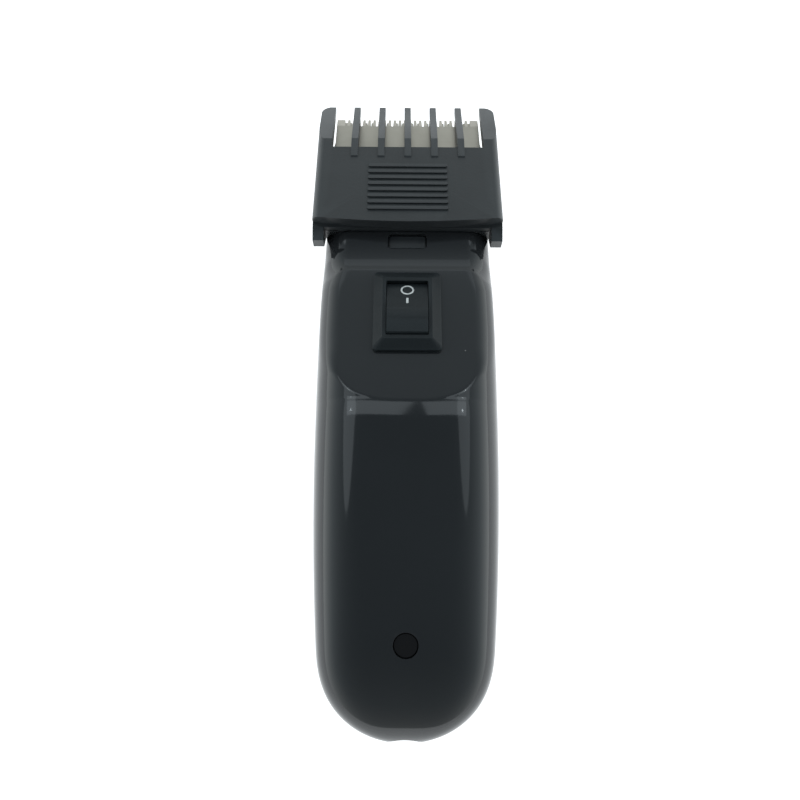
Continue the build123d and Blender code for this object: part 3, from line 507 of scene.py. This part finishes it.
scene = bpy.context.scene
world = bpy.data.worlds.new("studio")
scene.world = world
world.use_nodes = True
wt = world.node_tree
bg = wt.nodes["Background"]
coord = wt.nodes.new("ShaderNodeTexCoord")
split = wt.nodes.new("ShaderNodeSeparateXYZ")
wt.links.new(coord.outputs["Generated"], split.inputs["Vector"])
sky = wt.nodes.new("ShaderNodeValToRGB")
sky.color_ramp.elements[0].position = 0.0
sky.color_ramp.elements[0].color = (1.30, 1.38, 1.38, 1)
sky.color_ramp.elements[1].position = 0.96
sky.color_ramp.elements[1].color = (0.12, 0.15, 0.17, 1)
half = sky.color_ramp.elements.new(0.55)
half.color = (0.50, 0.57, 0.60, 1)
wt.links.new(split.outputs["Z"], sky.inputs["Fac"])
wt.links.new(sky.outputs["Color"], bg.inputs["Color"])


def maths(kind, a, b):
    node = wt.nodes.new("ShaderNodeMath")
    node.operation = kind
    for i, v in enumerate((a, b)):
        if isinstance(v, float):
            node.inputs[i].default_value = v
        else:
            wt.links.new(v, node.inputs[i])
    return node.outputs["Value"]


# brighter to both sides, darker beyond the tail
sides = maths("MULTIPLY", maths("MULTIPLY", split.outputs["X"], split.outputs["X"]), 1.0)
behind = maths("MULTIPLY", maths("MAXIMUM", maths("MULTIPLY", split.outputs["Y"], -1.0), 0.0), 0.6)
wt.links.new(maths("SUBTRACT", maths("ADD", sides, 1.0), behind), bg.inputs["Strength"])


def panel(name, forward, side, distance, width, length, power, shape="RECTANGLE"):
    """Soft box seen from the clipper at angles forward and sideways from straight up."""
    aim = Vector((0, -0.008, 0.03))
    f, s = math.radians(forward), math.radians(side)
    way = Vector((math.tan(s), math.tan(f), 1.0)).normalized()
    light = bpy.data.lights.new(name, "AREA")
    light.shape = shape
    light.size, light.size_y = width, length
    light.energy = power
    light.color = (0.88, 0.98, 1.04)
    obj = bpy.data.objects.new(name, light)
    scene.collection.objects.link(obj)
    obj.location = aim + way * distance
    across = Vector((0, 1, 0)).cross(way).normalized()
    obj.rotation_euler = Matrix((across, way.cross(across), way)).transposed().to_euler()


panel("bar_left", 20, -15.7, 1.2, 0.66, 0.22, 0.53)
panel("bar_right", 20, 17, 1.2, 0.59, 0.22, 0.47)
panel("strip_left", 17, -28.5, 1.2, 0.36, 0.72, 0.56, "ELLIPSE")
panel("strip_right", 17, 28.5, 1.2, 0.36, 0.72, 0.46, "ELLIPSE")
panel("front", 57, 0, 1.4, 0.9, 0.24, 0.24)
panel("spark_left", 19, -26, 1.2, 0.025, 0.025, 0.03)
panel("spark_right", 19, 26, 1.2, 0.025, 0.025, 0.03)

cam_data = bpy.data.cameras.new("camera")
cam = bpy.data.objects.new("camera", cam_data)
scene.collection.objects.link(cam)
scene.camera = cam
cam_data.sensor_width = 36.0
cam_data.lens = 36.0 * 930.0 / 800.0
tip = math.radians(15.0)
target = Vector((-1.47, 69.4 + TAIL, 33.0)) * MM
out = Vector((0, -math.sin(tip), math.cos(tip)))
cam.location = target + out * 0.195
cam.rotation_mode = "QUATERNION"
look = (-out).to_track_quat("-Z", "Y")
cam.rotation_quaternion = look @ Matrix.Rotation(math.radians(0.38), 4, "Z").to_quaternion()
cam_data.clip_start, cam_data.clip_end = 0.01, 20

scene.view_settings.view_transform = "Standard"
scene.view_settings.look = "None"
scene.view_settings.exposure = 0.0
